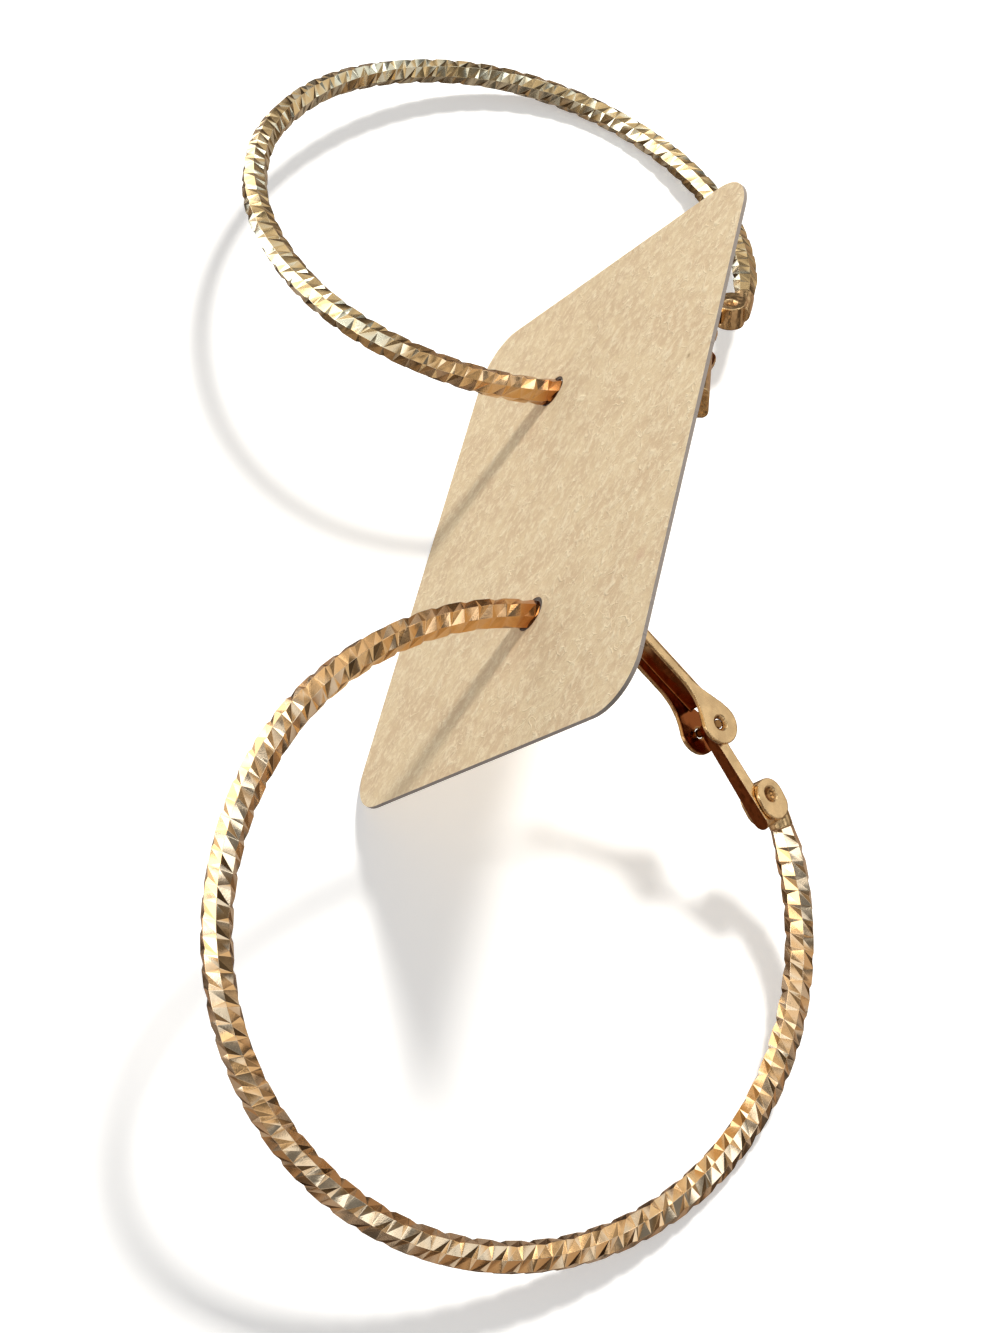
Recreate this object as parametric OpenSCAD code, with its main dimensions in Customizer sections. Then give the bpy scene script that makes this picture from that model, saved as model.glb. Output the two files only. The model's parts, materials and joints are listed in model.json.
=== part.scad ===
/* [Hoop] */
// Diameter of the circle along the middle of the tube, in mm
hoop_d = 57.2; // [30:0.2:70]
// Diameter of the tube over its ridges
tube_d = 2.9; // [1.6:0.05:4]
// Length of one cut facet along the tube
facet_len = 2.85; // [1.5:0.05:5]
// Ridges round the tube, an even number
ridges = 6; // [4:2:10]
// How far the middle of a ridge is cut in, as a share of the radius
ridge_cut = 0.05; // [0:0.01:0.12]
// Turn of the facets round the tube from one station to the next, in degrees
facet_twist = 2.2; // [0:0.1:8]
// Where the tube starts just behind the card, in degrees round the hoop
tube_start = -3; // [-6:0.1:-2]
// Where the tube ends at the clasp, in degrees round the hoop
tube_end = 291; // [280:0.5:293]

/* [Ear post] */
// Diameter of the ear post
post_d = 0.9; // [0.7:0.05:1.2]
// Where the ear post ends inside the lever, in degrees round the hoop
post_end = -24; // [-28:0.5:-20]

/* [Clasp] */
// Turn of the clasp about the line from its bracket to the ear post's end, in degrees
clasp_twist = 18; // [0:1:40]
// Distance of the lever's hinge from the middle of the hoop
pivot_r = 26.8; // [26:0.1:28]
// Place of the lever's hinge, in degrees round the hoop
pivot_at = -44; // [-50:0.5:-40]
// Direction of the closed lever seen from the hinge, in degrees
lever_dir = 48.5; // [46:0.5:52]
// Length of the lever from its hinge to its tip
lever_len = 12.3; // [9:0.1:14]
// Width of the lever over both side walls
lever_w = 3.7; // [3:0.05:4.6]
// Sheet thickness of the lever
lever_t = 0.5; // [0.3:0.05:0.7]
// Distance from the hinge to the outside of the lever's back
lever_back = 1.65; // [1.3:0.05:1.8]
// Radius of the rounded edges along the lever's back
lever_edge_r = 0.8; // [0.5:0.05:1]
// Radius of the lever's round ears
ear_r = 2.1; // [1.8:0.05:2.6]
// Height of the lever's side walls beside the hinge, negative below it
wall_top = -0.2; // [-0.6:0.05:0.2]
// Radius of the hollow curve from each ear to its side wall
hollow_r = 6; // [3:0.5:10]
// Diameter of the hinge pin
pin_d = 0.9; // [0.6:0.05:1.2]
// Running clearance round the hinge pin
pin_gap = 0.05; // [0.02:0.01:0.1]
// Height of the hinge tongue, seen from the clasp's side
tongue_h = 1.25; // [1:0.05:2]
// Thickness of the hinge tongue at the hinge
tongue_t = 1.2; // [0.8:0.05:1.6]
// Thickness of the hinge tongue at its tail
tail_t = 1.7; // [1.3:0.05:2.2]
// Clearance of the tongue in its slot
slot_gap = 0.05; // [0.02:0.01:0.1]
// Width of the flattened tube end that grips the tongue
bracket_w = 3.3; // [3:0.05:4.4]
// Thickness of the flattened tube end
bracket_t = 2.7; // [2.4:0.05:3.4]
// Place of the middle of the flattened tube end, in degrees round the hoop
bracket_at = -62; // [-66:0.5:-60]
// Radius of the dimples in the ears and in the flattened tube end
dimple_r = 0.8; // [0.5:0.05:1]

/* [Card] */
// Width of the card
card_w = 45; // [30:0.5:70]
// Length of the card, along the edge that it stands on
card_l = 60; // [40:0.5:90]
// Thickness of the card
card_t = 0.4; // [0.25:0.05:0.8]
// Radius of the card's corners
card_corner_r = 5; // [1:0.5:12]
// Lean of the card from the surface that it stands on, in degrees
card_lean = 60; // [50:0.5:80]
// Length of the hole that a tube's front end goes through
hole_l = 3.6; // [3.2:0.05:6]
// Width of the hole
hole_w = 3.1; // [3:0.05:4]
// Turn of the hole's length from the card's length, in degrees
hole_turn = 36.5; // [0:0.5:90]
// Where the near tube crosses the card: up from its standing edge, along from its upper corner
near_hole = [25.3, 44.8]; // [10:0.1:55]
// Where the far tube crosses the card, measured the same way
far_hole = [17.4, 14.6]; // [10:0.1:55]

/* [How the pair lies] */
// Middle of the near hoop, measured from the card's lower corner
near_mid = [19.2, -71.3]; // [-80:0.1:60]
// Turns of the near hoop about x, y and z, in degrees
near_turn = [17.7, -17.5, 103.9]; // [-180:0.1:180]
// How far the near lever stands open, in degrees
near_open = 0; // [0:1:80]
// Middle of the far hoop, measured from the card's lower corner
far_mid = [-2.1, 11.2]; // [-80:0.1:60]
// Turns of the far hoop about x, y and z, in degrees
far_turn = [168.8, -11.8, -67.2]; // [-180:0.1:180]
// How far the far lever stands open, in degrees
far_open = 30; // [0:1:80]

/* [Colours] */
// Gold of the hoops
gold = [0.80, 0.60, 0.36]; // [0:0.01:1]
// Deeper gold of the clasps
clasp_gold = [0.72, 0.52, 0.28]; // [0:0.01:1]
// Beige of the card
card_beige = [0.88, 0.79, 0.64]; // [0:0.01:1]

/* [Hidden] */
$fn = 48;
hoop_r = hoop_d / 2;
tube_r = tube_d / 2;
post_r = post_d / 2;
pin_r = pin_d / 2;
// stations along the tube, two to a facet, an even number of steps
arc_deg = tube_end - tube_start;
steps = 2 * round(arc_deg / 360 * PI * hoop_d / facet_len);
step_deg = arc_deg / steps;
pivot = pivot_r * [cos(pivot_at), sin(pivot_at)];
// the bracket's lobe sits a little inside the hoop's circle
bracket_in = 1.1;
bracket_mid = (hoop_r - bracket_in) * [cos(bracket_at), sin(bracket_at)];
// the tongue runs from the hinge to a tail inside the flattened end
tail_in = 2.2;
tail_past = 4;
tail = (hoop_r - tail_in) * [cos(bracket_at - tail_past), sin(bracket_at - tail_past)];
tongue_len = norm(tail - pivot);
tongue_dir = atan2(tail[1] - pivot[1], tail[0] - pivot[0]);
// line that the clasp is turned about
chord_dir = 90 + (bracket_at + post_end) / 2;
chord_start = hoop_r * [cos(bracket_at), sin(bracket_at), 0];
// radius of the neck between lobe and tube, and of the tube's own last ring
neck_share = 0.8;
neck_r = neck_share * tube_r;
// how far the post reaches into the tube, in degrees round the hoop
post_in = 1;
// long enough to cut right through any piece of the clasp
through = 10;
// how far a cut reaches past the piece that it is made in
spare = 1;
// shift that puts the origin under the middle of the whole set
set_shift = [-7.7, 30.2, 0];

// one ring point: station k along the tube, ridge j round it
function on_ridge(j, k) = (j + k) % 2 == 0 || k == 0;
function ring_point(j, k) =
    let (a = tube_start + k * step_deg,
         b = 360 * j / ridges + facet_twist * k,
         r = k == steps ? neck_r : on_ridge(j, k) ? tube_r : tube_r * (1 - ridge_cut))
    [(hoop_r + r * cos(b)) * cos(a), (hoop_r + r * cos(b)) * sin(a), r * sin(b)];
tube_points = [for (k = [0:steps]) for (j = [0:ridges - 1]) ring_point(j, k)];
function at(j, k) = k * ridges + j % ridges;
// each cell is split between its two ridge points
function cell(j, k) = (j + k) % 2 == 0
    ? [[at(j, k), at(j + 1, k + 1), at(j, k + 1)], [at(j, k), at(j + 1, k), at(j + 1, k + 1)]]
    : [[at(j, k), at(j + 1, k), at(j, k + 1)], [at(j + 1, k), at(j + 1, k + 1), at(j, k + 1)]];
tube_faces = concat(
    [for (k = [0:steps - 1]) for (j = [0:ridges - 1]) for (t = cell(j, k)) t],
    [[for (j = [ridges - 1:-1:0]) at(j, 0)]],
    [[for (j = [0:ridges - 1]) at(j, steps)]]);

// height above its middle of a point turned about x, then y, then z
function turned_z(p, t) =
    -sin(t[1]) * p[0] + cos(t[1]) * (sin(t[0]) * p[1] + cos(t[0]) * p[2]);
function rest_z(t) = -min([for (p = tube_points) turned_z(p, t)]);

// places a hoop's pieces so that its tube touches the surface
module placed(mid, turn) {
    translate(set_shift + [mid[0], mid[1], rest_z(turn)])
        rotate(turn)
            children();
}

// an arc of round wire or tube along the hoop
module arc_rod(r, from, to) {
    rotate([0, 0, from])
        rotate_extrude(angle = to - from)
            translate([hoop_r, 0])
                circle(r);
}

// faceted tube with the ear post soldered into its front end
module hoop() {
    polyhedron(tube_points, tube_faces, convexity = 10);
}

module post() {
    arc_rod(post_r, post_end, tube_start + post_in);
}

// turns the clasp about the line from its bracket to the ear post's end
module clasp_turned() {
    translate(chord_start)
        rotate(clasp_twist, [cos(chord_dir), sin(chord_dir), 0])
            translate(-chord_start)
                children();
}

// round dimple pressed into a face that looks along +z
module dimple() {
    flatness = 1.2;
    ball_r = flatness * dimple_r;
    translate([0, 0, sqrt(ball_r * ball_r - dimple_r * dimple_r)])
        sphere(ball_r);
}

// tongue's side view: straight bar with a round end at the hinge
module tongue_side(grow) {
    circle(tongue_h / 2 + grow);
    translate([0, -tongue_h / 2 - grow])
        square([tongue_len + tail_t, tongue_h + 2 * grow]);
}

// tongue seen from the hoop's middle: it widens to a round tail
module tongue_face(grow) {
    polygon([[-tongue_h, -tongue_t / 2 - grow], [tongue_len, -tail_t / 2 - grow],
             [tongue_len, tail_t / 2 + grow], [-tongue_h, tongue_t / 2 + grow]]);
    translate([tongue_len, 0])
        circle(tail_t / 2 + grow);
}

module tongue_bar(grow) {
    translate(pivot)
        rotate([0, 0, tongue_dir])
            intersection() {
                translate([0, 0, -through / 2])
                    linear_extrude(through)
                        tongue_side(grow);
                rotate([90, 0, 0])
                    translate([0, 0, -through / 2])
                        linear_extrude(through)
                            tongue_face(grow);
            }
}

// hinge tongue, bored for the pin
module tongue() {
    bore_gap = 0.02;
    clasp_turned()
        difference() {
            tongue_bar(0);
            translate(concat(pivot, -through / 2))
                cylinder(r = pin_r + bore_gap, h = through);
        }
}

// side view of the bracket: a lobe with two round ends
module bracket_side() {
    lobe_run = 0.9;
    circle(bracket_w / 2);
    translate([0, -bracket_w / 2])
        square([lobe_run, bracket_w]);
    translate([lobe_run, 0])
        circle(bracket_w / 2);
}

// flattened tube end: short round neck, and a lobe with a slot and two dimples
module end_bracket() {
    end_gap = 0.1;
    difference() {
        union() {
            arc_rod(neck_r, tube_end - 360 + end_gap, bracket_at);
            clasp_turned()
                translate(concat(bracket_mid, -bracket_t / 2))
                    rotate([0, 0, bracket_at - 90])
                        linear_extrude(bracket_t)
                            bracket_side();
        }
        clasp_turned() {
            tongue_bar(slot_gap);
            for (s = [0, 1])
                translate(bracket_mid)
                    mirror([0, 0, s])
                        translate([0, 0, bracket_t / 2])
                            dimple();
        }
    }
}

// hinge pin, sunk a little below the outside of each ear
module hinge_pin() {
    sunk = 0.3;
    clasp_turned()
        translate(concat(pivot, sunk - lever_w / 2))
            cylinder(r = pin_r, h = lever_w - 2 * sunk);
}

// side view of the lever: x from the hinge to the tip, y towards the hoop's middle
module lever_side() {
    hollow_y = wall_top + hollow_r;
    hollow_x = sqrt(pow(ear_r + hollow_r, 2) - pow(hollow_y, 2));
    meet = ear_r / (ear_r + hollow_r) * [hollow_x, hollow_y];
    ear_run = 3.6;
    circle(ear_r);
    difference() {
        polygon([[0, -ear_r], [ear_run, -lever_back], [lever_len, -lever_back], [lever_len, wall_top],
                 [hollow_x, wall_top], meet, [0, 0]]);
        translate([hollow_x, hollow_y])
            circle(hollow_r, $fn = 96);
    }
}

// cross-section of the channel, its mouth towards the hoop's middle
module channel_section() {
    half = lever_w / 2;
    difference() {
        union() {
            translate([lever_edge_r - lever_back, -half])
                square([lever_back + ear_r - lever_edge_r, lever_w]);
            translate([-lever_back, lever_edge_r - half])
                square([lever_back + ear_r, lever_w - 2 * lever_edge_r]);
            for (s = [-1, 1])
                translate([lever_edge_r - lever_back, s * (half - lever_edge_r)])
                    circle(lever_edge_r);
        }
        translate([lever_t - lever_back, lever_t - half])
            square([through, lever_w - 2 * lever_t]);
    }
}

module lever_channel() {
    rotate([90, 0, 90])
        translate([0, 0, -ear_r])
            linear_extrude(ear_r + lever_len)
                channel_section();
}

// one ear, standing past the channel's back and running out along its rounded edge
module lever_ear() {
    full_run = 0.6;
    run_out = 5;
    linear_extrude(lever_t)
        intersection() {
            lever_side();
            polygon([[-ear_r, -ear_r], [full_run, -ear_r], [run_out, lever_edge_r - lever_back],
                     [run_out, ear_r], [-ear_r, ear_r]]);
        }
}

// end wall that drops over the ear post
module lever_end_wall() {
    wall_h = 2.4;
    translate([lever_len - lever_t, lever_t / 2 - lever_back, lever_t / 2 - lever_w / 2])
        cube([lever_t, wall_h, lever_w - lever_t]);
}

module lever_at_hinge() {
    notch_gap = 0.45;
    notch_w = post_d + 2 * notch_gap;
    notch_floor = -0.35;
    notch_h = 3;
    back_start = 2;
    difference() {
        union() {
            intersection() {
                lever_channel();
                translate([0, 0, -lever_w])
                    linear_extrude(2 * lever_w)
                        lever_side();
            }
            for (z = [-lever_w / 2, lever_w / 2 - lever_t])
                translate([0, 0, z])
                    lever_ear();
            lever_end_wall();
        }
        // the back stops short of the tongue
        translate([-ear_r - spare, -ear_r - spare, lever_t - lever_w / 2])
            cube([ear_r + spare + back_start, 2 * (ear_r + spare), lever_w - 2 * lever_t]);
        // notch that the post sits in
        translate([lever_len - lever_t - spare, notch_floor, -notch_w / 2])
            cube([lever_t + 2 * spare, notch_h, notch_w]);
        // pin hole with a dimple at each end
        translate([0, 0, -through / 2])
            cylinder(r = pin_r + pin_gap, h = through);
        for (s = [0, 1])
            mirror([0, 0, s])
                translate([0, 0, lever_w / 2])
                    dimple();
    }
}

module lever(open) {
    clasp_turned()
        translate(pivot)
            rotate([0, 0, lever_dir - open])
                lever_at_hinge();
}

// card blank in its own plane, standing edge along y from 0 to -card_l
module card_blank() {
    r = card_corner_r;
    translate([0, r - card_l, -card_t / 2])
        cube([card_w, card_l - 2 * r, card_t]);
    translate([r, -card_l, -card_t / 2])
        cube([card_w - 2 * r, card_l, card_t]);
    for (x = [r, card_w - r])
        for (y = [-r, r - card_l])
            translate([x, y, -card_t / 2])
                cylinder(r = r, h = card_t);
}

// long hole right through the card
module card_hole(at_u, at_v) {
    run = hole_l - hole_w;
    translate([at_u, -at_v, -card_t])
        rotate([0, 0, -hole_turn]) {
            for (s = [-1, 1])
                translate([0, s * run / 2, 0])
                    cylinder(r = hole_w / 2, h = 2 * card_t);
            translate([-hole_w / 2, -run / 2, 0])
                cube([hole_w, run, 2 * card_t]);
        }
}

module card_sheet() {
    translate(set_shift + [0, 0, card_t / 2 * cos(card_lean)])
        rotate([0, -card_lean, 0])
            difference() {
                card_blank();
                card_hole(near_hole[0], near_hole[1]);
                card_hole(far_hole[0], far_hole[1]);
            }
}

module card() {
    color(card_beige) card_sheet();
}

module near_hoop() {
    color(gold) placed(near_mid, near_turn) { hoop(); post(); }
}

module near_end_bracket() {
    color(clasp_gold) placed(near_mid, near_turn) end_bracket();
}

module near_tongue() {
    color(clasp_gold) placed(near_mid, near_turn) tongue();
}

module near_hinge_pin() {
    color(clasp_gold) placed(near_mid, near_turn) hinge_pin();
}

module near_lever() {
    color(clasp_gold) placed(near_mid, near_turn) lever(near_open);
}

module far_hoop() {
    color(gold) placed(far_mid, far_turn) { hoop(); post(); }
}

module far_end_bracket() {
    color(clasp_gold) placed(far_mid, far_turn) end_bracket();
}

module far_tongue() {
    color(clasp_gold) placed(far_mid, far_turn) tongue();
}

module far_hinge_pin() {
    color(clasp_gold) placed(far_mid, far_turn) hinge_pin();
}

module far_lever() {
    color(clasp_gold) placed(far_mid, far_turn) lever(far_open);
}

card();
near_hoop();
near_end_bracket();
near_tongue();
near_hinge_pin();
near_lever();
far_hoop();
far_end_bracket();
far_tongue();
far_hinge_pin();
far_lever();
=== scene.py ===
"""Looks for a pair of lever-back hoop earrings on their card: gold, kraft card, light and camera."""

import json
import math
import random
from functools import partial

import bmesh
import bpy
import numpy as np
from bpy.props import FloatProperty, FloatVectorProperty, IntProperty, PointerProperty
from mathutils import Euler, Matrix, Vector


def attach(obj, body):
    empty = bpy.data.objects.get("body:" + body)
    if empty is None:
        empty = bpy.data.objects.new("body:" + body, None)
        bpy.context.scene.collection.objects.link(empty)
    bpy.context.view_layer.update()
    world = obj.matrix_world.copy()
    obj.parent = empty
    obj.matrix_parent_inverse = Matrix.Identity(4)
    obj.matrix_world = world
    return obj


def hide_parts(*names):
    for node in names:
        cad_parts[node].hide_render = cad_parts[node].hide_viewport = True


bl_info = {
    "name": "Lever-back hoop earrings on a card",
    "version": (1, 0, 0),
    "blender": (4, 5, 0),
    "location": "3D View > Sidebar > Earrings",
    "description": "Dresses a pair of faceted gold hoops, their clasps and their kraft card",
    "category": "Object",
}

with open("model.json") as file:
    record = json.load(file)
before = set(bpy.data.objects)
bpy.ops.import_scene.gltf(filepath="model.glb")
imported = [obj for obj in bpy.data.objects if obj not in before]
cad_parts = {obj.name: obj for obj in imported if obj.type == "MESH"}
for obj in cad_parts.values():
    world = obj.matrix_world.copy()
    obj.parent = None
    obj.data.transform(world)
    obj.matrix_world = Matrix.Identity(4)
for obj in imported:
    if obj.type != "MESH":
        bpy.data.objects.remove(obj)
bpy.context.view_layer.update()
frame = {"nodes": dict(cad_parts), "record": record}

MM = 0.001
# each hoop's middle in millimetres, and its turns in degrees from lying flat
HOOPS = {
    "near_hoop": ((11.5, -41.1, 13.387), (17.7, -17.5, 103.9)),
    "far_hoop": ((-9.8, 41.4, 9.339), (168.8, -11.8, -67.2)),
}
# each lever's hoop, and how far it is open in degrees
LEVERS = {"near_lever": ("near_hoop", 0.0), "far_lever": ("far_hoop", 30.0)}
BRACKETS = ("near_end_bracket", "far_end_bracket")
TONGUES = ("near_tongue", "far_tongue")
PINS = ("near_hinge_pin", "far_hinge_pin")
CARD_FACE = (-0.8660254, 0.0, 0.5)
FIBRE_WAY = (0.27, 0.85, 0.468)
# middle and radius of the two marks on the card, in millimetres
SOFT_SPOT = ((13.08, -14.09, 36.1), 1.1)
DARK_SPECK = ((13.21, 8.03, 36.32), 0.4)
# the far hoop's gold takes painted light: a greener tint that stands in for the cooler light falling
# on it
PAINTED_LIGHT_TINTS = {"near_hoop": (1.0, 1.0, 1.0), "far_hoop": (0.89, 1.05, 1.14)}
# azimuth, elevation and half width of each bright panel in degrees, and its brightness
PANELS = (
    (77.0, 53.0, 8.0, 3.0),
    (168.0, 38.0, 15.0, 3.4),
    (210.0, 26.0, 16.0, 3.4),
    (150.0, 0.0, 24.0, 2.2),
    (190.0, -2.0, 20.0, 2.2),
    (43.0, 25.0, 20.0, 0.9),
    (255.0, 62.0, 7.0, 1.8),
    (0.0, 58.0, 8.0, 1.8),
)
PANEL_TINT = (0.98, 0.98, 0.96)
LOW_ROOM_TINT = (1.0, 0.77, 0.60)
HIGH_ROOM_TINT = (1.0, 0.96, 0.90)
SKY_TINT = (1.0, 0.99, 0.97, 1.0)
KEY_TINT = (1.0, 0.97, 0.92)
KEY_WAY = (0.138, 0.579, 0.804)
# the camera's place in millimetres, and the ways of its picture's rows, columns and depth
CAMERA_PLACE = (8.39, -103.19, 180.51)
CAMERA_RIGHT = (0.96812, 0.23359, 0.09043)
CAMERA_DOWN = (0.24764, -0.83829, -0.48574)
CAMERA_AHEAD = (-0.03765, 0.49265, -0.86941)
CAMERA_SHIFT = (0.0003, -0.0537)


def colour(name, description, default):
    """A colour that the sidebar shows as a swatch."""
    return FloatVectorProperty(
        name=name,
        description=description,
        default=default,
        size=3,
        min=0.0,
        max=1.0,
        subtype="COLOR",
    )


def length(name, description, millimetres):
    """A length, given here in millimetres and kept in metres."""
    return FloatProperty(
        name=name,
        description=description,
        default=millimetres * MM,
        min=0.0,
        subtype="DISTANCE",
        unit="LENGTH",
        precision=5,
    )


def share(name, description, default):
    """A plain number from 0 to 1."""
    return FloatProperty(
        name=name,
        description=description,
        default=default,
        min=0.0,
        max=1.0,
        subtype="FACTOR",
    )


class HoopLook(bpy.types.PropertyGroup):
    """Sizes and finish of the two faceted tubes."""

    middle: length("Hoop diameter", "Diameter of the circle along the middle of the tube", 57.2)
    tube: length("Tube diameter", "Diameter of the tube over its ridges", 2.9)
    neck: length("Neck diameter", "Diameter of the tube where it enters the clasp", 2.32)
    post: length("Ear post diameter", "Diameter of the ear post", 0.9)
    pitch: length("Cut pitch", "Distance from one cut to the next along the tube", 2.85)
    rows: IntProperty(
        name="Rows", description="Rows of facets round the tube", default=7, min=4, max=12
    )
    cut: length("Groove depth", "Depth of the wedge-shaped grooves between the facets", 0.17)
    facet: share("Facet share", "Share of the pitch that a facet takes beside a groove's mouth", 0.55)
    deepest: share("Groove line", "Place of a groove's deep line, as a share of the pitch", 0.84)
    lean: share("Groove lean", "How far a groove's closed end lies on, as a share of the pitch", 0.22)
    uneven: share("Unevenness", "How much the grooves vary, as a share of the pitch", 0.05)
    starts: IntProperty(
        name="Starts",
        description="How many pitches the grooves move along the tube in one round of it",
        default=4,
        min=1,
        max=8,
    )
    glint: length("Glint", "Width of the tiny rounding on every ridge", 0.045)
    crease: FloatProperty(
        name="Crease",
        description="Least angle between two facets that makes a ridge",
        default=math.radians(10.0),
        subtype="ANGLE",
        unit="ROTATION",
    )
    twist: FloatProperty(
        name="Twist",
        description="Turn of the rows round the tube over one facet's length",
        default=math.radians(4.4),
        subtype="ANGLE",
        unit="ROTATION",
    )
    start: FloatProperty(
        name="Tube start",
        description="Where the tube starts behind the card, round the hoop",
        default=math.radians(-3.0),
        subtype="ANGLE",
        unit="ROTATION",
    )
    end: FloatProperty(
        name="Tube end",
        description="Where the tube enters the clasp, round the hoop",
        default=math.radians(291.0),
        subtype="ANGLE",
        unit="ROTATION",
    )
    post_end: FloatProperty(
        name="Post end",
        description="Where the ear post ends inside the lever, round the hoop",
        default=math.radians(-24.0),
        subtype="ANGLE",
        unit="ROTATION",
    )
    # pale and deep are painted reflection: each facet is coloured pale or deep by the way it faces
    pale: colour("Pale gold", "Colour of the facets that catch the light", (0.95, 0.81, 0.61))
    deep: colour("Deep gold", "Colour of the facets between them", (0.79, 0.49, 0.23))
    # groove is painted shade: the groove walls are coloured dark as if in shade
    groove: colour("Groove", "Colour of the grooves' dull walls", (0.2, 0.115, 0.05))
    # painted reflection of the kraft card on the tube in front of it
    painted_card_reflection: colour(
        "Brown beside the card", "Colour of the tube in front of the card", (0.66, 0.36, 0.14)
    )
    painted_card_reflection_reach: length("Brown reach", "How far from the hole the brown still shows", 24.0)
    painted_card_reflection_share: share("Brown share", "How strongly the brown shows beside the card", 0.75)
    shade: colour(
        "Shade at the card", "Colour of the tube where it goes into the card", (0.50, 0.20, 0.06)
    )
    polish: share("Roughness", "How rough the cut facets are", 0.11)


class ClaspLook(bpy.types.PropertyGroup):
    """Finish of levers, tongues, brackets and pins, with painted shade in the channels, in the
    dimples and on the pins.
    """

    gold: colour("Clasp gold", "Colour of the polished clasps", (0.81, 0.57, 0.30))
    # the pin colour is painted shade: the pins are darkened to read as sunk in shaded dimples
    pin: colour("Pin", "Colour of the hinge pins, sunk in their dimples", (0.36, 0.19, 0.07))
    # inside is painted shade deep in each lever's channel and on each tongue's inner side
    inside: colour("Inside of the channel", "Colour deep in the folded sheet", (0.26, 0.075, 0.02))
    width: length("Lever width", "Width of the lever over both side walls", 3.7)
    sheet: length("Sheet", "Thickness of the lever's sheet", 0.5)
    direction: FloatProperty(
        name="Lever direction",
        description="Direction of the closed lever, seen in the hoop's own plane",
        default=math.radians(48.5),
        subtype="ANGLE",
        unit="ROTATION",
    )
    chord: FloatProperty(
        name="Clasp line",
        description="Direction of the line that the clasp is turned about",
        default=math.radians(47.0),
        subtype="ANGLE",
        unit="ROTATION",
    )
    twist: FloatProperty(
        name="Clasp turn",
        description="Turn of the clasp about that line",
        default=math.radians(18.0),
        subtype="ANGLE",
        unit="ROTATION",
    )
    skin: length("Skin", "Size of the cells that soften the stamped edges", 0.07)
    softening: IntProperty(
        name="Softening",
        description="How many times the stamped edges are smoothed",
        default=10,
        min=0,
        max=20,
    )
    polish: share("Roughness", "How rough the polished clasps are", 0.2)
    waviness: FloatProperty(
        name="Waviness",
        description="Height of the soft waves that polishing leaves, in millimetres",
        default=0.09,
        min=0.0,
    )
    # sunk is painted shade in the dimples of the levers' ears and the brackets' lobes
    sunk: colour("Dimple", "Colour in the dimples that polishing does not reach", (0.42, 0.22, 0.08))
    dimple: length("Dimple radius", "Radius of the dimples", 0.8)
    bracket_out: length("Bracket place", "Distance of the bracket's middle from the hoop's", 27.5)
    bracket_at: FloatProperty(
        name="Bracket angle",
        description="Place of the bracket's middle, round the hoop",
        default=math.radians(-62.0),
        subtype="ANGLE",
        unit="ROTATION",
    )


class CardLook(bpy.types.PropertyGroup):
    """Finish of the kraft card."""

    board: colour("Board", "Main colour of the card", (0.77, 0.61, 0.39))
    warm: colour("Warm patches", "Colour of the soft warmer patches", (0.69, 0.52, 0.33))
    pale: colour("Pale patches", "Colour of the soft paler patches", (0.865, 0.725, 0.50))
    fibre: colour("Fibres", "Colour of the pale fibres", (0.92, 0.80, 0.58))
    edge: colour("Cut edge", "Colour of the card's cut edge", (0.24, 0.21, 0.19))
    rim: length("Rim", "Width of the pressed-in rim of each hole", 0.5)
    rim_depth: length("Rim thickness", "Thickness of that rim", 0.24)
    speck: colour("Speck", "Colour of the single dark speck", (0.22, 0.14, 0.07))
    blush: colour("Soft spot", "Colour of the one soft reddish spot", (0.62, 0.40, 0.26))
    roughness: share("Roughness", "How rough the card is", 0.85)


class StageLook(bpy.types.PropertyGroup):
    """Floor, light and camera."""

    floor: colour("Floor", "Colour of the plain floor", (0.90, 0.90, 0.90))
    floor_size: length("Floor size", "Length of the floor's sides", 6000.0)
    table_glow: FloatProperty(
        name="Light table",
        description="Strength of the floor's own soft glow, which keeps shadows pale",
        default=0.4,
        min=0.0,
    )
    key_watts: FloatProperty(
        name="Key light",
        description="Power of the light from the far side",
        default=4.3,
        min=0.0,
        unit="POWER",
    )
    key_away: length("Key light's distance", "How far the key light is from the pair", 600.0)
    key_size: length("Key light's size", "Length of the key light's sides", 95.0)
    sky: FloatProperty(
        name="Room light",
        description="Strength of the soft light from all round",
        default=0.35,
        min=0.0,
    )
    ceiling: FloatProperty(
        name="Ceiling",
        description="Brightness of the ceiling that the gold shows",
        default=0.6,
        min=0.0,
    )
    floor_glow: FloatProperty(
        name="Low room",
        description="Brightness of the low room that the gold shows",
        default=0.26,
        min=0.0,
    )
    focal: FloatProperty(
        name="Focal length",
        description="Focal length of the camera's lens, in millimetres",
        default=52.56,
        min=10.0,
    )


class EarringSet(bpy.types.PropertyGroup):
    """Everything that can be changed on the pair."""

    hoops: PointerProperty(type=HoopLook)
    clasps: PointerProperty(type=ClaspLook)
    card: PointerProperty(type=CardLook)
    stage: PointerProperty(type=StageLook)


# nodes of a material


def put(tree, kind, settings=None, **inputs):
    """Adds a node, sets it up, and fills or joins its inputs by their names."""
    node = tree.nodes.new(kind)
    for key, value in (settings or {}).items():
        setattr(node, key, value)
    for key, value in inputs.items():
        socket = node.inputs[key.replace("_", " ")]
        if isinstance(value, bpy.types.NodeSocket):
            tree.links.new(value, socket)
        else:
            socket.default_value = value
    return node


def reckon(tree, operation, first, second=0.0):
    """Works out a number from one or two others."""
    node = tree.nodes.new("ShaderNodeMath")
    node.operation = operation
    for socket, value in zip(node.inputs, (first, second)):
        if isinstance(value, bpy.types.NodeSocket):
            tree.links.new(value, socket)
        else:
            socket.default_value = value
    return node.outputs[0]


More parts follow.
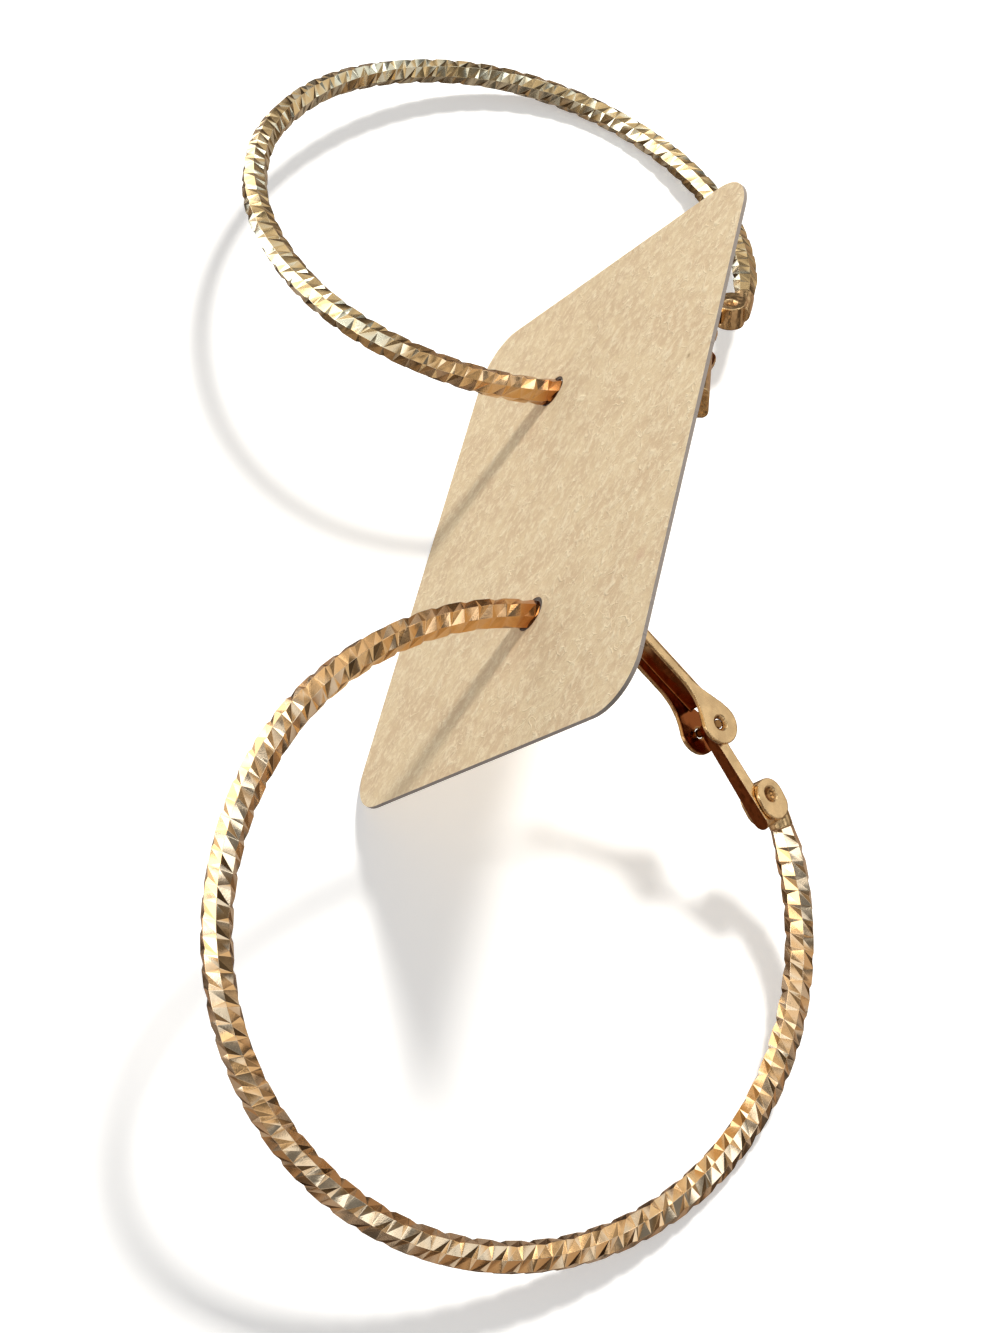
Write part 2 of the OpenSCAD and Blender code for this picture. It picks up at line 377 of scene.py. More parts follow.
def between(tree, share_of_second, first, second):
    """Mixes two colours."""
    node = tree.nodes.new("ShaderNodeMix")
    node.data_type = "RGBA"
    for index, value in ((0, share_of_second), (6, first), (7, second)):
        if isinstance(value, bpy.types.NodeSocket):
            tree.links.new(value, node.inputs[index])
        elif index:
            node.inputs[index].default_value = (*value, 1.0)
        else:
            node.inputs[index].default_value = value
    return node.outputs[2]


def ramp(tree, value, low, high, start=0.0, end=1.0):
    """Smooth step of a number from one range to another."""
    node = put(tree, "ShaderNodeMapRange", {"interpolation_type": "SMOOTHSTEP"}, Value=value)
    for name, number in (("From Min", low), ("From Max", high), ("To Min", start), ("To Max", end)):
        node.inputs[name].default_value = number
    return node.outputs[0]


def place_in_mm(tree, stretch=(1.0, 1.0, 1.0), turn=(0.0, 0.0, 0.0)):
    """Position on the piece in millimetres, turned and then stretched."""
    spot = put(tree, "ShaderNodeTexCoord")
    place = spot.outputs["Object"]
    mapping = put(tree, "ShaderNodeMapping", {"vector_type": "TEXTURE"}, Vector=place)
    mapping.inputs["Rotation"].default_value = [math.radians(a) for a in turn]
    mapping.inputs["Scale"].default_value = [MM * s for s in stretch]
    return mapping.outputs[0]


def grain(tree, where, size, detail=3.0, roughness=0.5, distortion=0.0):
    """Soft random cloud whose patches are about size millimetres across."""
    node = put(
        tree,
        "ShaderNodeTexNoise",
        Vector=where,
        Scale=1.0 / size,
        Detail=detail,
        Roughness=roughness,
        Distortion=distortion,
    )
    return node.outputs["Fac"]


def blank_material(name):
    """A material with one shader, joined to its output."""
    material = bpy.data.materials.new(name)
    material.use_nodes = True
    tree = material.node_tree
    tree.nodes.clear()
    shader = put(tree, "ShaderNodeBsdfPrincipled")
    output = put(tree, "ShaderNodeOutputMaterial")
    tree.links.new(shader.outputs[0], output.inputs[0])
    return material, tree, shader


def relief(tree, shader, height, depth):
    """Raises the surface by a height from 0 to 1, times depth in millimetres."""
    bump = put(tree, "ShaderNodeBump", Height=height, Strength=1.0, Distance=depth * MM)
    tree.links.new(bump.outputs[0], shader.inputs["Normal"])


def hoop_lie(hoop):
    """Turn of a hoop in the set, from lying flat round the origin."""
    return Euler([math.radians(t) for t in HOOPS[hoop][1]], "XYZ").to_matrix()


def hole_and_way(look, hoop):
    """Middle of the card's hole for a hoop, and the way the tube goes through it."""
    lie = hoop_lie(hoop)
    middle = Vector(HOOPS[hoop][0]) * MM
    return middle + lie @ Vector((look.middle / 2, 0.0, 0.0)), lie @ Vector((0.0, -1.0, 0.0))


def ball(tree, centre, outer, inner):
    """One inside a ball round centre, fading to nothing; outer and inner are in millimetres."""
    gap = put(tree, "ShaderNodeVectorMath", {"operation": "DISTANCE"})
    tree.links.new(put(tree, "ShaderNodeTexCoord").outputs["Object"], gap.inputs[0])
    gap.inputs[1].default_value = centre
    return ramp(tree, gap.outputs["Value"], outer * MM, inner * MM)


def cut_gold(look, name, pale, deep):
    """Bright-cut gold with fine tool marks. Every facet takes a pale or deep tone by the way it
    faces, a painted reflection mixed with a random cloud; beside the card it takes a painted
    reflection of the card, and painted shade where the tube goes into the card.
    """
    material, tree, shader = blank_material(name)
    shader.inputs["Metallic"].default_value = 1.0
    coords = put(tree, "ShaderNodeTexCoord")
    # Painted reflection: a noise on each facet's facing picks its pale or deep tone
    facing = put(tree, "ShaderNodeTexNoise", Vector=coords.outputs["Normal"], Scale=2.6, Detail=2.0)
    painted_facet_sheen = ramp(tree, facing.outputs["Fac"], 0.36, 0.64)
    where = place_in_mm(tree)
    cloud = grain(tree, where, 2.2)
    facet_sheen_part = reckon(tree, "MULTIPLY", painted_facet_sheen, 0.65)
    tone = reckon(tree, "ADD", facet_sheen_part, reckon(tree, "MULTIPLY", cloud, 0.5))
    base = between(tree, ramp(tree, tone, 0.34, 0.95), deep, pale)
    for hoop in HOOPS:
        hole, _ = hole_and_way(look, hoop)
        # Painted reflection of the kraft card on the tube in front of it, fading away from the hole
        spot = put(tree, "ShaderNodeTexCoord").outputs["Object"]
        past_face = along_line(tree, spot, CARD_FACE, hole)
        in_front = ramp(tree, past_face, -0.5 * MM, 1.0 * MM, 0.0, look.painted_card_reflection_share)
        near_hole = ball(tree, hole, look.painted_card_reflection_reach / MM, 5.0)
        card_reflection_mask = reckon(tree, "MULTIPLY", near_hole, in_front)
        base = between(tree, card_reflection_mask, base, look.painted_card_reflection)
        base = between(tree, ball(tree, hole, 2.9, 1.3), base, look.shade)
    tree.links.new(base, shader.inputs["Base Color"])
    marks = grain(tree, place_in_mm(tree, (1.0, 1.0, 0.12), (20, 35, 0)), 0.25, 2.0)
    smear = grain(tree, where, 0.9, 2.0)
    rough = ramp(tree, smear, 0.3, 0.7, look.polish * 0.7, look.polish * 1.5)
    tree.links.new(rough, shader.inputs["Roughness"])
    relief(tree, shader, reckon(tree, "ADD", marks, reckon(tree, "MULTIPLY", smear, 1.5)), 0.005)
    return material


def along_line(tree, vector, direction, start=(0.0, 0.0, 0.0)):
    """How far a point or a direction lies along a line through start."""
    from_start = put(tree, "ShaderNodeVectorMath", {"operation": "SUBTRACT"})
    tree.links.new(vector, from_start.inputs[0])
    from_start.inputs[1].default_value = start
    share_of = put(tree, "ShaderNodeVectorMath", {"operation": "DOT_PRODUCT"})
    tree.links.new(from_start.outputs[0], share_of.inputs[0])
    share_of.inputs[1].default_value = direction
    return share_of.outputs["Value"]


def clasp_lie(look, hoop):
    """Turn of a clasp in the set, from lying flat in the hoop's own plane."""
    chord = Vector((math.cos(look.chord), math.sin(look.chord), 0.0))
    return hoop_lie(hoop) @ Matrix.Rotation(look.twist, 3, chord)


def hinge_of(lever):
    """Middle of a lever's hinge, in metres."""
    joints = frame["record"]["behaviour"]["joints"]
    return Vector(next(j["pos_m"] for j in joints if j["child"] == lever))


def lobe_middle(look, hoop):
    """Middle of a bracket's lobe, in metres."""
    hoop_radius = bpy.context.scene.earring_set.hoops.middle / 2
    way = Vector((math.cos(look.bracket_at), math.sin(look.bracket_at), 0.0))
    start = hoop_lie(hoop) @ (way * hoop_radius)
    inwards = way * (look.bracket_out - hoop_radius)
    return Vector(HOOPS[hoop][0]) * MM + start + clasp_lie(look, hoop) @ inwards


def painted_dimple_shade(tree, centre, side, reach):
    """One near a line through centre along side, nothing past reach: where painted shade goes in a
    dimple.
    """
    spot = put(tree, "ShaderNodeTexCoord").outputs["Object"]
    from_centre = put(tree, "ShaderNodeVectorMath", {"operation": "SUBTRACT"})
    tree.links.new(spot, from_centre.inputs[0])
    from_centre.inputs[1].default_value = centre
    off_line = put(tree, "ShaderNodeVectorMath", {"operation": "CROSS_PRODUCT"})
    tree.links.new(from_centre.outputs[0], off_line.inputs[0])
    off_line.inputs[1].default_value = side
    gap = put(tree, "ShaderNodeVectorMath", {"operation": "LENGTH"})
    tree.links.new(off_line.outputs[0], gap.inputs[0])
    return ramp(tree, gap.outputs["Value"], reach, reach * 0.7)


def painted_tongue_shade(tree, look, lever):
    """One on the side of a tongue that looks at the hoop's middle, where painted shade goes."""
    hoop, _ = LEVERS[lever]
    angle = look.direction
    mouth = clasp_lie(look, hoop) @ Vector((-math.sin(angle), math.cos(angle), 0.0))
    facing = along_line(tree, put(tree, "ShaderNodeTexCoord").outputs["Normal"], mouth)
    return ramp(tree, facing, 0.45, 0.75)


def painted_channel_shade(tree, look, lever):
    """One on the inner faces of a lever's folded sheet, where painted shade goes, nothing outside."""
    hoop, opened = LEVERS[lever]
    lie = clasp_lie(look, hoop)
    angle = look.direction - math.radians(opened)
    side = lie @ Vector((0.0, 0.0, 1.0))
    mouth = lie @ Vector((-math.sin(angle), math.cos(angle), 0.0))
    hinge = hinge_of(lever)
    coords = put(tree, "ShaderNodeTexCoord")
    spot = coords.outputs["Object"]
    aside = reckon(tree, "ABSOLUTE", along_line(tree, spot, side, hinge))
    rim = look.width / 2 - look.sheet
    between_walls = ramp(tree, aside, rim + 0.15 * MM, rim + 0.03 * MM)
    looks_in = ramp(tree, along_line(tree, coords.outputs["Normal"], mouth), -0.45, -0.3)
    lever_way = lie @ Vector((math.cos(angle), math.sin(angle), 0.0))
    before_tip = ramp(tree, along_line(tree, spot, lever_way, hinge), 10.5 * MM, 8.5 * MM)
    return reckon(tree, "MULTIPLY", reckon(tree, "MULTIPLY", between_walls, looks_in), before_tip)


def polished_gold(look, name, gold, painted_shades=()):
    """Polished gold of the clasps; each painted shade is a function for a share, with its colour."""
    material, tree, shader = blank_material(name)
    shader.inputs["Metallic"].default_value = 1.0
    where = place_in_mm(tree)
    cloud = grain(tree, where, 1.6)
    worn = [min(1.0, c * 1.08) for c in gold]
    base = between(tree, ramp(tree, cloud, 0.35, 0.7), [c * 0.84 for c in gold], worn)
    for painted_shade, tone in painted_shades:
        base = between(tree, painted_shade(tree), base, tone)
    tree.links.new(base, shader.inputs["Base Color"])
    smear = grain(tree, where, 0.6, 2.0)
    rough = ramp(tree, smear, 0.3, 0.7, look.polish * 0.75, look.polish * 1.3)
    tree.links.new(rough, shader.inputs["Roughness"])
    waves = grain(tree, where, 1.1, 1.0)
    marks = grain(tree, place_in_mm(tree, (0.3, 1.0, 1.0), (0, 0, 35)), 0.5, 2.0)
    height = reckon(tree, "ADD", waves, reckon(tree, "MULTIPLY", marks, 0.06))
    relief(tree, shader, height, look.waviness)
    return material


def on_the_card(tree, stretch):
    """Place on the card in millimetres, along its fibres, shortened by stretch, and across them."""
    spot = put(tree, "ShaderNodeTexCoord").outputs["Object"]
    fibre_way = Vector(FIBRE_WAY).normalized()
    across = Vector(CARD_FACE).cross(fibre_way)
    return put(
        tree,
        "ShaderNodeCombineXYZ",
        X=reckon(tree, "MULTIPLY", along_line(tree, spot, fibre_way), 1 / (MM * stretch)),
        Y=reckon(tree, "MULTIPLY", along_line(tree, spot, across), 1 / MM),
    ).outputs[0]


def curled_fibres(tree, size, stretch, thin):
    """Thin curled lines, broken into short lengths."""
    where = on_the_card(tree, stretch)
    cloud = grain(tree, where, size, 2.0, 0.5, 0.6)
    from_middle = reckon(tree, "ABSOLUTE", reckon(tree, "SUBTRACT", cloud, 0.5))
    line = ramp(tree, from_middle, 0.0, thin, 1.0, 0.0)
    gaps = ramp(tree, grain(tree, where, size * 0.9, 1.0), 0.46, 0.6)
    return reckon(tree, "MULTIPLY", line, gaps)


def spot_on_card(tree, centre, radius):
    """One at centre, given in millimetres, and nothing past radius."""
    coords = put(tree, "ShaderNodeTexCoord")
    gap = put(tree, "ShaderNodeVectorMath", {"operation": "DISTANCE"})
    tree.links.new(coords.outputs["Object"], gap.inputs[0])
    gap.inputs[1].default_value = [c * MM for c in centre]
    wobble = reckon(tree, "MULTIPLY", grain(tree, place_in_mm(tree), 0.5), radius * MM)
    far = reckon(tree, "ADD", gap.outputs["Value"], wobble)
    return ramp(tree, far, radius * 0.6 * MM, radius * 1.6 * MM, 1.0, 0.0)


def kraft_board(look):
    """Kraft card: warm and pale patches, curled fibres, a speck, a soft spot and a dark cut edge."""
    material, tree, shader = blank_material("kraft_board")
    patches = grain(tree, on_the_card(tree, 1.1), 5.0, 4.0, 0.6)
    base = between(tree, ramp(tree, patches, 0.42, 0.6), look.board, look.warm)
    mottle = grain(tree, on_the_card(tree, 1.2), 1.0, 5.0, 0.7, 0.2)
    base = between(tree, ramp(tree, mottle, 0.44, 0.63), base, look.pale)
    fine = grain(tree, on_the_card(tree, 1.1), 0.4, 3.0, 0.65)
    base = between(tree, ramp(tree, fine, 0.45, 0.65, 0.0, 0.6), base, look.warm)
    fibres = reckon(
        tree,
        "MAXIMUM",
        curled_fibres(tree, 2.4, 1.7, 0.026),
        curled_fibres(tree, 1.5, 1.3, 0.028),
    )
    base = between(tree, reckon(tree, "MULTIPLY", fibres, 0.45), base, look.fibre)
    blush = spot_on_card(tree, *SOFT_SPOT)
    base = between(tree, reckon(tree, "MULTIPLY", blush, 0.6), base, look.blush)
    base = between(tree, spot_on_card(tree, *DARK_SPECK), base, look.speck)
    facing = along_line(tree, put(tree, "ShaderNodeTexCoord").outputs["Normal"], CARD_FACE)
    cut = ramp(tree, reckon(tree, "ABSOLUTE", facing), 0.5, 0.3)
    base = between(tree, cut, base, look.edge)
    tree.links.new(base, shader.inputs["Base Color"])
    shader.inputs["Roughness"].default_value = look.roughness
    shader.inputs["Specular IOR Level"].default_value = 0.25
    relief(tree, shader, reckon(tree, "ADD", mottle, reckon(tree, "MULTIPLY", fibres, 0.5)), 0.06)
    return material


def pressed_edge_and_shade(look):
    """Dark, fibrous edge of a hole: partly the pressed card, partly painted shade in the gap round
    the tube.
    """
    material, tree, shader = blank_material("pressed_edge_and_shade")
    strands = grain(tree, place_in_mm(tree, (1.0, 1.0, 0.4)), 0.15, 3.0, 0.6)
    shade = between(tree, ramp(tree, strands, 0.35, 0.65), [c * 0.6 for c in look.edge], look.edge)
    tree.links.new(shade, shader.inputs["Base Color"])
    shader.inputs["Roughness"].default_value = look.roughness
    relief(tree, shader, strands, 0.04)
    return material


def rim_mesh(look, hoops, hoop):
    """Mesh of a hole's rim: a thin ring in the card, close round the slanting tube."""
    centre, way = hole_and_way(hoops, hoop)
    face = Vector(CARD_FACE)
    sides = 64
    aside = way.orthogonal().normalized()
    above = way.cross(aside)
    inner = hoops.tube / 2 - 0.08 * MM
    outer = inner + look.rim
    bm = bmesh.new()
    loops = []
    for radius, lift in ((inner, -0.5), (inner, 0.5), (outer, 0.5), (outer, -0.5)):
        loop = []
        for k in range(sides):
            a = 2 * math.pi * k / sides
            point = radius * (math.cos(a) * aside + math.sin(a) * above)
            point -= way * (point.dot(face) / way.dot(face))
            loop.append(bm.verts.new(centre + point + face * lift * look.rim_depth))
        loops.append(loop)
    for first, second in zip(loops, loops[1:] + loops[:1]):
        for k in range(sides):
            j = (k + 1) % sides
            bm.faces.new((first[k], first[j], second[j], second[k]))
    bmesh.ops.recalc_face_normals(bm, faces=bm.faces)
    mesh = bpy.data.meshes.new(hoop + "_hole_rim")
    bm.to_mesh(mesh)
    bm.free()
    return mesh


def dress(names, material):
    """Gives CAD nodes a finish."""
    for name in names:
        for holder in frame["nodes"][name].material_slots:
            holder.material = material


def weld(node):
    """Joins the corners that neighbouring faces share."""
    modifier = node.modifiers.new("joined_corners", "WELD")
    modifier.merge_threshold = 0.001 * MM


# shape of the cut tube


def tube_point(look, run, row, along, depth):
    """Point on the tube in the hoop's own plane, at a row's edge and a depth under the ridges."""
    along = min(max(along, 0.0), run)
    to_neck = min((run - along) / look.pitch, 1.0)
    ease = to_neck * to_neck * (3 - 2 * to_neck)
    radius = look.neck / 2 + (look.tube / 2 - look.neck / 2) * ease - depth * ease
    a = look.start + along * 2 / look.middle
    b = 2 * math.pi * row / look.rows + look.twist * along / look.pitch
    out = look.middle / 2 + radius * math.cos(b)
    return Vector((out * math.cos(a), out * math.sin(a), radius * math.sin(b)))


def groove_corners(bm, look, run):
    """Corners along every row edge: facet start, next groove's closed end, facet end, deep line."""
    chance = random.Random(7)
    cuts = range(-look.starts - 2, int(run / look.pitch) + 3)
    vary = {
        (row, cut): look.uneven * chance.uniform(-1, 1) for cut in cuts for row in range(look.rows)
    }
    lines = []
    for row in range(look.rows + 1):
        moved = look.starts * row / look.rows
        closed = look.deepest + look.lean - look.starts / look.rows
        line = []
        for cut in cuts:
            off = vary.get((row % look.rows, cut + row // look.rows * look.starts), 0.0)
            for place, depth in (
                (0.0, 0.0),
                (closed, 0.0),
                (look.facet + off, 0.0),
                (look.deepest + off / 2, look.cut),
            ):
                along = look.pitch * (cut + moved + place)
                line.append(bm.verts.new(tube_point(look, run, row, along, depth)))
        lines.append(line)
    return lines


def cut_tube(look):
    """Mesh of one tube, lying flat round the origin: rows of flat facets, parted by grooves."""
    run = look.middle / 2 * (look.end - look.start)
    bm = bmesh.new()
    lines = groove_corners(bm, look, run)
    for left, right in zip(lines, lines[1:]):
        for i in range(4, len(left) - 4, 4):
            start, closed, end, deep, after = left[i : i + 5]
            closed_before, end_before, deep_before, start_beside, closed_beside = right[i - 3 : i + 2]
            for corners in (
                (start, closed_before, end_before),
                (start, end_before, deep_before),
                (start, deep_before, closed),
                (closed, deep_before, start_beside),
                (closed, start_beside, end),
                (end, start_beside, closed_beside),
                (deep, closed_beside, after),
            ):
                bm.faces.new(corners)
            bm.faces.new((end, closed_beside, deep)).material_index = 1
    bmesh.ops.remove_doubles(bm, verts=bm.verts, dist=0.02 * MM)
    bmesh.ops.dissolve_degenerate(bm, dist=0.01 * MM, edges=bm.edges)
    bmesh.ops.holes_fill(bm, edges=[e for e in bm.edges if e.is_boundary])
    bmesh.ops.recalc_face_normals(bm, faces=bm.faces)
    sharp = [e for e in bm.edges if e.calc_face_angle(0.0) > look.crease]
    bmesh.ops.bevel(
        bm, geom=sharp, offset=look.glint, segments=2, profile=0.5, affect="EDGES", clamp_overlap=True
    )
    for face in bm.faces:
        face.smooth = True
    for edge in bm.edges:
        edge.smooth = edge.calc_face_angle(0.0) < look.crease
    return bm


def skin_of_rings(rings):
    """Faces over a row of rings, with a cap on each end."""
    count, sides = rings.shape[:2]
    i, j = np.meshgrid(np.arange(count - 1), np.arange(sides), indexing="ij")
    k = (j + 1) % sides
    quads = np.stack([i * sides + j, i * sides + k, (i + 1) * sides + k, (i + 1) * sides + j], -1)
    faces = quads.reshape(-1, 4).tolist()
    faces.append(list(range(sides))[::-1])
    faces.append(list(range((count - 1) * sides, count * sides)))
    return rings.reshape(-1, 3), faces


def rings_along_hoop(look, angles, radii, sides):
    """Rings of the tube at angles round the hoop, with a radius at every point."""
    a = angles[:, None]
    b = np.linspace(0, 2 * math.pi, sides, endpoint=False)[None, :]
    out = look.middle / 2 + radii * np.cos(b)
    return np.stack([out * np.cos(a), out * np.sin(a), radii * np.sin(b)], -1)


def ear_post(look):
    """Points and faces of the ear post, with a domed tip and a solder fillet at its root."""
    hoop_r, post_r = look.middle / 2, look.post / 2
    tip = np.linspace(0, 1, 7)
    dome = look.post_end + post_r / hoop_r * (1 - np.cos(tip * math.pi / 2))
    stem = np.linspace(dome[-1], look.start, 60)[1:]
    root = look.start + np.linspace(0, 1, 4)[1:] * 0.4 * MM / hoop_r
    angles = np.concatenate([dome, stem, root])
    radii = np.full(len(angles), post_r)
    radii[:7] = post_r * np.sin(tip * math.pi / 2) + 0.002 * MM
    near_root = np.clip(1 - (look.start - angles) * hoop_r / (0.5 * MM), 0, 1)
    radii += 0.35 * MM * near_root**2
    return skin_of_rings(rings_along_hoop(look, angles, radii[:, None], 24))


def add_post(bm, look):
    """Adds the ear post to a tube's mesh."""
    points, faces = ear_post(look)
    corners = [bm.verts.new(point) for point in points]
    for face in faces:
        bm.faces.new([corners[i] for i in face]).smooth = True


# operators, one for each group of like pieces


class EARRINGS_OT_hoops(bpy.types.Operator):
    """Build both hoops with their cut facets and ear posts, in bright-cut gold"""

    bl_idname = "earrings.hoops"
    bl_label = "Build the hoops"

    def execute(self, context):
        look = context.scene.earring_set.hoops
        bm = cut_tube(look)
        add_post(bm, look)
        for name, (middle, _) in HOOPS.items():
            mesh = bpy.data.meshes.new(name + "_cut")
            bm.to_mesh(mesh)
            lie = hoop_lie(name).to_4x4()
            mesh.transform(Matrix.Translation(Vector(middle) * MM) @ lie)
            # each hoop's colours take its painted light tint
            pale, deep, groove = (
                [min(1.0, c * t) for c, t in zip(tone, PAINTED_LIGHT_TINTS[name])]
                for tone in (look.pale, look.deep, look.groove)
            )
            mesh.materials.append(cut_gold(look, name + "_facets", pale, deep))
            # the grooves take the dark groove colour and darkened deep gold, as painted shade
            shaded = [c * 0.6 for c in deep]
            mesh.materials.append(cut_gold(look, name + "_grooves", groove, shaded))
            hoop = bpy.data.objects.new(name + "_cut", mesh)
            context.scene.collection.objects.link(hoop)
            flat = hoop.modifiers.new("flat_facets", "WEIGHTED_NORMAL")
            flat.weight = 70
            flat.keep_sharp = True
            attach(hoop, "pair_on_card")
            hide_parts(name)
        bm.free()
        return {"FINISHED"}


class EARRINGS_OT_clasps(bpy.types.Operator):
    """Soften the stamped edges of levers, tongues, brackets and pins, polish them, and paint shade
    into their channels, dimples and pins
    """

    bl_idname = "earrings.clasps"
    bl_label = "Dress the clasps"

    def execute(self, context):
        look = context.scene.earring_set.clasps
        # the pins take the dark pin colour, painted shade for pins sunk in their dimples
        dress(PINS, polished_gold(look, "pin_gold", look.pin))
        for lever, bracket, tongue in zip(LEVERS, BRACKETS, TONGUES):
            hoop, _ = LEVERS[lever]
            side = clasp_lie(look, hoop) @ Vector((0.0, 0.0, 1.0))
            hinge = hinge_of(lever)
            # painted shade in the lever's channel
            channel = partial(painted_channel_shade, look=look, lever=lever)
            # painted shade in the ear dimples round the hinge
            ear_dimple_shade = partial(painted_dimple_shade, centre=hinge, side=side, reach=look.dimple)
            painted_shades = ((channel, look.inside), (ear_dimple_shade, look.sunk))
            dress((lever,), polished_gold(look, lever + "_gold", look.gold, painted_shades))
            # painted shade on the tongue's inner side
            inner = partial(painted_tongue_shade, look=look, lever=lever)
            painted_shades = ((inner, look.inside),)
            dress((tongue,), polished_gold(look, tongue + "_gold", look.gold, painted_shades))
            # painted shade in the bracket's dimple
            middle = lobe_middle(look, hoop)
            lobe = partial(painted_dimple_shade, centre=middle, side=side, reach=look.dimple)
            painted_shades = ((lobe, look.sunk),)
            dress((bracket,), polished_gold(look, bracket + "_gold", look.gold, painted_shades))
        for name in (*LEVERS, *BRACKETS, *TONGUES, *PINS):
            node = frame["nodes"][name]
            weld(node)
            skin = node.modifiers.new("skin", "REMESH")
            skin.mode = "VOXEL"
            skin.voxel_size = look.skin
            skin.use_smooth_shade = True
            soft = node.modifiers.new("soft_edges", "SMOOTH")
            soft.factor = 0.5
            soft.iterations = look.softening
        return {"FINISHED"}


class EARRINGS_OT_card(bpy.types.Operator):
    """Give the card its kraft board, and each hole its dark pressed rim, which is partly painted
    shade in the gap round the tube
    """

    bl_idname = "earrings.card"
    bl_label = "Dress the card"

    def execute(self, context):
        looks = context.scene.earring_set
        dress(("card",), kraft_board(looks.card))
        edge = pressed_edge_and_shade(looks.card)
        for hoop in HOOPS:
            mesh = rim_mesh(looks.card, looks.hoops, hoop)
            mesh.materials.append(edge)
            rim = bpy.data.objects.new(mesh.name, mesh)
            context.scene.collection.objects.link(rim)
            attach(rim, "pair_on_card")
        return {"FINISHED"}


def lamp(name, place, size, watts, tint):
    """A square soft light that shines at the middle of the pair."""
    data = bpy.data.lights.new(name, "AREA")
    data.shape = "SQUARE"
    data.size = size
    data.energy = watts
    data.color = tint
    light = bpy.data.objects.new(name, data)
    light.location = place
    aim = Vector((0.0, 0.0, 0.015)) - Vector(place)
    light.rotation_euler = aim.to_track_quat("-Z", "Y").to_euler()
    light.visible_camera = False
    light.visible_glossy = False
    bpy.context.scene.collection.objects.link(light)


def compass(azimuth, elevation):
    """Direction towards a place round the pair, in degrees from +X and above the floor."""
    a, e = math.radians(azimuth), math.radians(elevation)
    return (math.cos(e) * math.cos(a), math.cos(e) * math.sin(a), math.sin(e))


def room_light(look):
    """Even soft light for card and floor, and bright panels in a dim room for the gold to show."""
    world = bpy.data.worlds.new("room")
    bpy.context.scene.world = world
    world.use_nodes = True
    tree = world.node_tree
    tree.nodes.clear()
    coords = put(tree, "ShaderNodeTexCoord")
    way = coords.outputs["Generated"]
    height = put(tree, "ShaderNodeSeparateXYZ", Vector=way).outputs["Z"]
    level = ramp(tree, height, -0.15, 0.7, look.floor_glow, look.ceiling)
    furniture = put(tree, "ShaderNodeTexNoise", Vector=way, Scale=3.2, Detail=1.0)
    dark_or_light = ramp(tree, furniture.outputs["Fac"], 0.42, 0.58, 0.3, 1.7)
    level = reckon(tree, "MULTIPLY", level, dark_or_light)
    shine = 0.0
    for azimuth, elevation, reach, strength in PANELS:
        near = along_line(tree, way, compass(azimuth, elevation))
        outer = math.cos(math.radians(reach + 4.0))
        panel = ramp(tree, near, outer, math.cos(math.radians(reach)), 0.0, strength)
        shine = reckon(tree, "MAXIMUM", shine, panel)
    level = reckon(tree, "MAXIMUM", level, shine)
    walls = between(tree, ramp(tree, height, -0.3, 0.6), LOW_ROOM_TINT, HIGH_ROOM_TINT)
    tint = between(tree, ramp(tree, shine, 0.4, 1.4), walls, PANEL_TINT)
    gold_sees = put(tree, "ShaderNodeBackground", Color=tint, Strength=level)
    soft = put(tree, "ShaderNodeBackground", Strength=look.sky)
    soft.inputs["Color"].default_value = SKY_TINT
    path = put(tree, "ShaderNodeLightPath")
    choose = put(tree, "ShaderNodeMixShader", Fac=path.outputs["Is Glossy Ray"])
    tree.links.new(soft.outputs[0], choose.inputs[1])
    tree.links.new(gold_sees.outputs[0], choose.inputs[2])
    output = put(tree, "ShaderNodeOutputWorld")
    tree.links.new(choose.outputs[0], output.inputs[0])


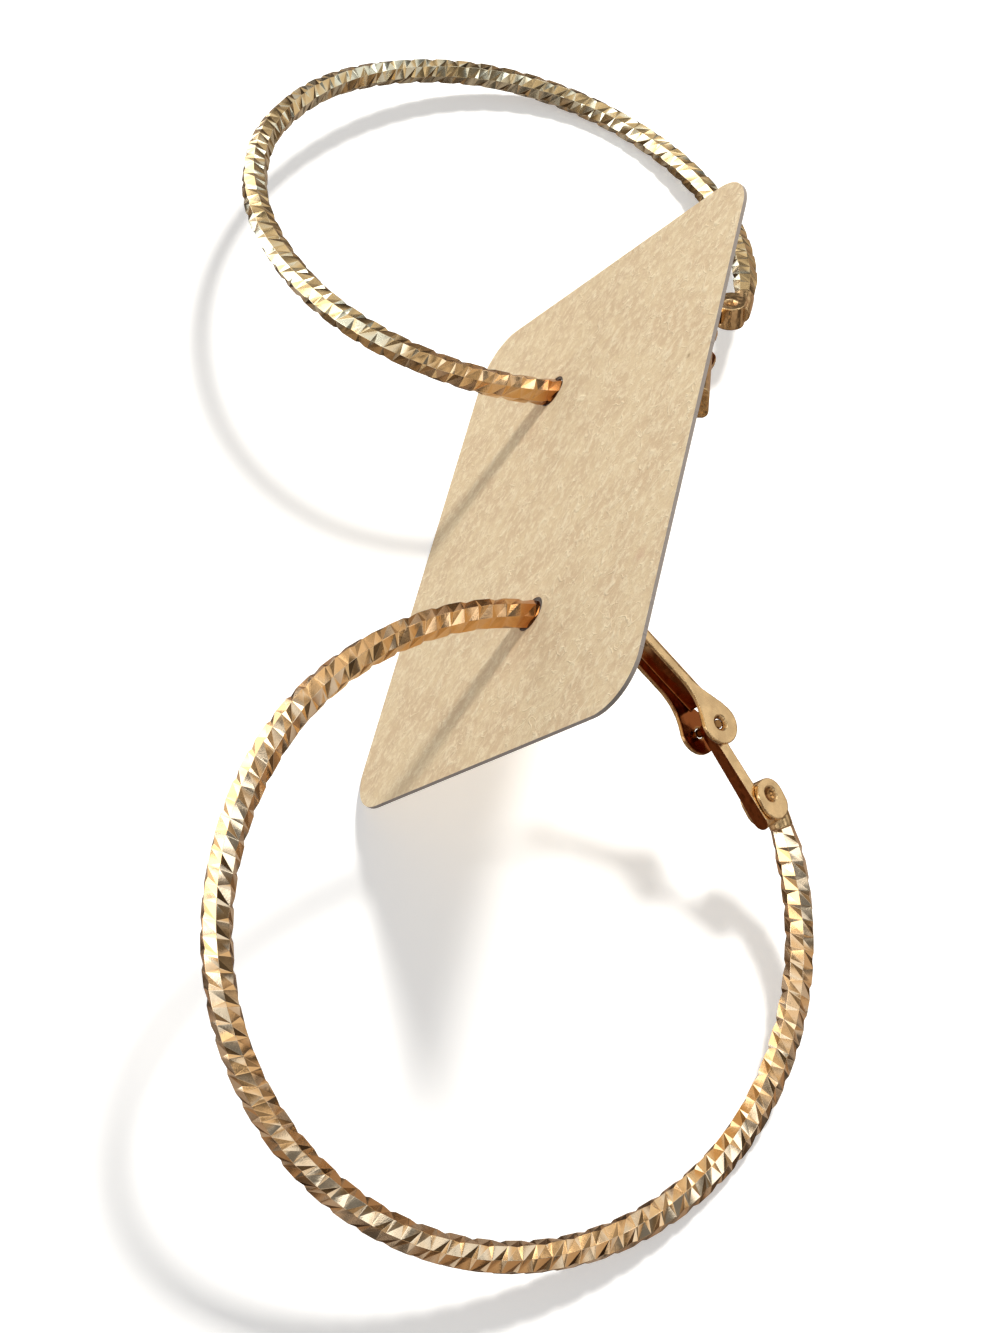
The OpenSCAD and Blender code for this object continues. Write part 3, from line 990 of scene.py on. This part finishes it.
class EARRINGS_OT_stage(bpy.types.Operator):
    """Lay the floor, hang the lights and set up the camera"""

    bl_idname = "earrings.stage"
    bl_label = "Set the stage"

    def execute(self, context):
        look = context.scene.earring_set.stage
        bpy.ops.mesh.primitive_plane_add(size=look.floor_size)
        floor = context.object
        floor.name = "floor"
        material, tree, shader = blank_material("pale_floor")
        veil = grain(tree, place_in_mm(tree), 30.0, 2.0)
        shade = between(tree, veil, [c * 0.985 for c in look.floor], look.floor)
        tree.links.new(shade, shader.inputs["Base Color"])
        shader.inputs["Roughness"].default_value = 0.9
        shader.inputs["Specular IOR Level"].default_value = 0.2
        shader.inputs["Emission Color"].default_value = (*look.floor, 1.0)
        shader.inputs["Emission Strength"].default_value = look.table_glow
        floor.data.materials.append(material)
        floor.visible_glossy = False
        place = Vector(KEY_WAY) * look.key_away
        lamp("key", place, look.key_size, look.key_watts, KEY_TINT)
        room_light(look)
        camera_data = bpy.data.cameras.new("camera")
        camera_data.sensor_fit = "AUTO"
        camera_data.sensor_width = 36.0
        camera_data.lens = look.focal
        camera_data.shift_x, camera_data.shift_y = CAMERA_SHIFT
        camera_data.clip_start = 0.01
        camera_data.clip_end = 20.0
        camera = bpy.data.objects.new("camera", camera_data)
        up, back = -Vector(CAMERA_DOWN), -Vector(CAMERA_AHEAD)
        turn = Matrix((Vector(CAMERA_RIGHT), up, back)).transposed().to_4x4()
        camera.matrix_world = Matrix.Translation(Vector(CAMERA_PLACE) * MM) @ turn
        context.scene.collection.objects.link(camera)
        context.scene.camera = camera
        context.scene.view_settings.view_transform = "Standard"
        return {"FINISHED"}


class EARRINGS_PT_panel(bpy.types.Panel):
    """Sizes, colours and makers of the pair"""

    bl_idname = "EARRINGS_PT_panel"
    bl_label = "Lever-back hoops"
    bl_space_type = "VIEW_3D"
    bl_region_type = "UI"
    bl_category = "Earrings"

    def draw(self, context):
        looks = context.scene.earring_set
        for title, group, operator in (
            ("Hoops", looks.hoops, EARRINGS_OT_hoops),
            ("Clasps", looks.clasps, EARRINGS_OT_clasps),
            ("Card", looks.card, EARRINGS_OT_card),
            ("Stage", looks.stage, EARRINGS_OT_stage),
        ):
            box = self.layout.box()
            box.label(text=title)
            for key in group.__annotations__:
                box.prop(group, key)
            box.operator(operator.bl_idname)


OPERATORS = (EARRINGS_OT_hoops, EARRINGS_OT_clasps, EARRINGS_OT_card, EARRINGS_OT_stage)
CLASSES = (HoopLook, ClaspLook, CardLook, StageLook, EarringSet, *OPERATORS, EARRINGS_PT_panel)


def register():
    """Adds the looks, the operators and the panel."""
    for cls in CLASSES:
        bpy.utils.register_class(cls)
    bpy.types.Scene.earring_set = PointerProperty(type=EarringSet)


def unregister():
    """Takes them away again."""
    del bpy.types.Scene.earring_set
    for cls in reversed(CLASSES):
        bpy.utils.unregister_class(cls)


def main():
    """Dresses the whole pair."""
    register()
    bpy.ops.earrings.hoops()
    bpy.ops.earrings.clasps()
    bpy.ops.earrings.card()
    bpy.ops.earrings.stage()


if __name__ == "__main__":
    main()
